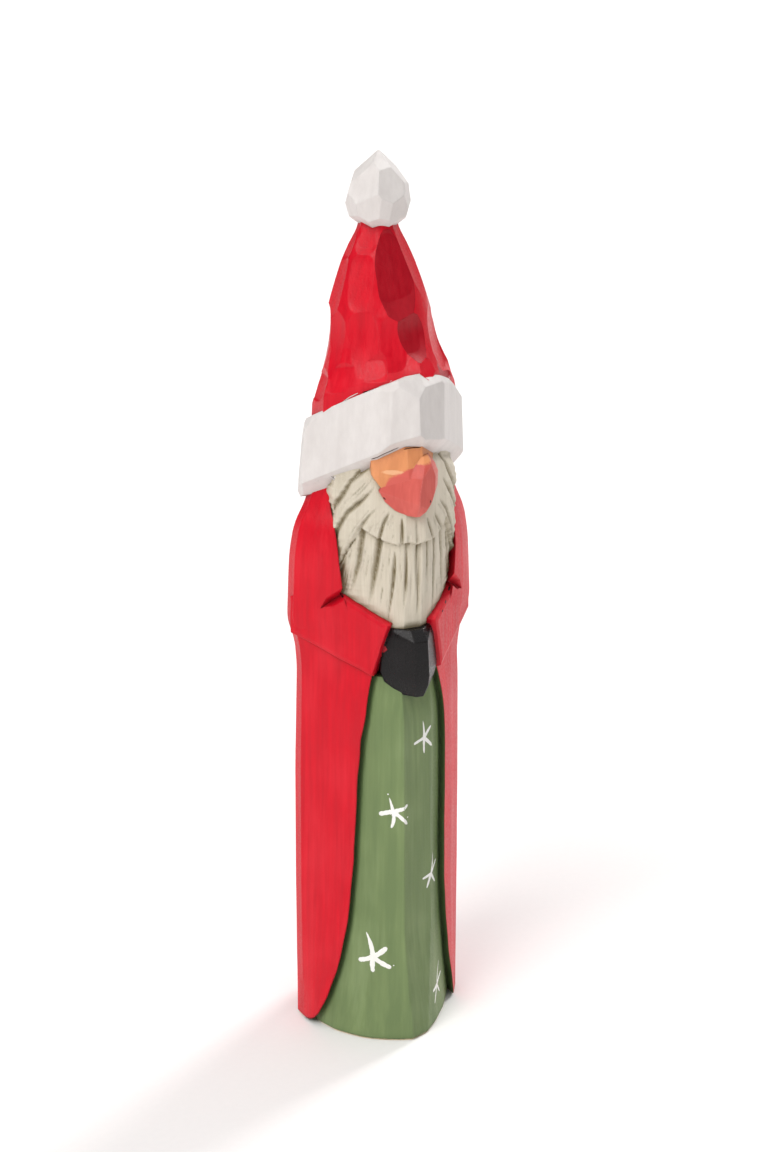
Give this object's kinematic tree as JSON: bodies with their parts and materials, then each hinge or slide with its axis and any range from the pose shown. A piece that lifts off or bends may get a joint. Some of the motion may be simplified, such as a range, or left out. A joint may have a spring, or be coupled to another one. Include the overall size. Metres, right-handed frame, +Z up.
{
  "type": "carved santa figure",
  "caption": "Slim standing santa whittled on the corner of a square wooden stick, with tall hat, long beard, mittens and open coat, painted by hand.",
  "frame": {"origin": "on the ground under the middle of the figure, at the level of its flat underside", "axes": "+Z up along the stick to the pompom's tip, the face towards -Y, +X to the figure's left hand"},
  "size_m": [0.035, 0.0346, 0.16],
  "materials": {
    "painted_wood": "hand-brushed acrylic paint on basswood, satin: red, sage green, black, khaki, flesh, coral and white; the underside bare"
  },
  "bodies": {
    "root": {"carved_santa": "painted_wood"}
  },
  "joints": []
}
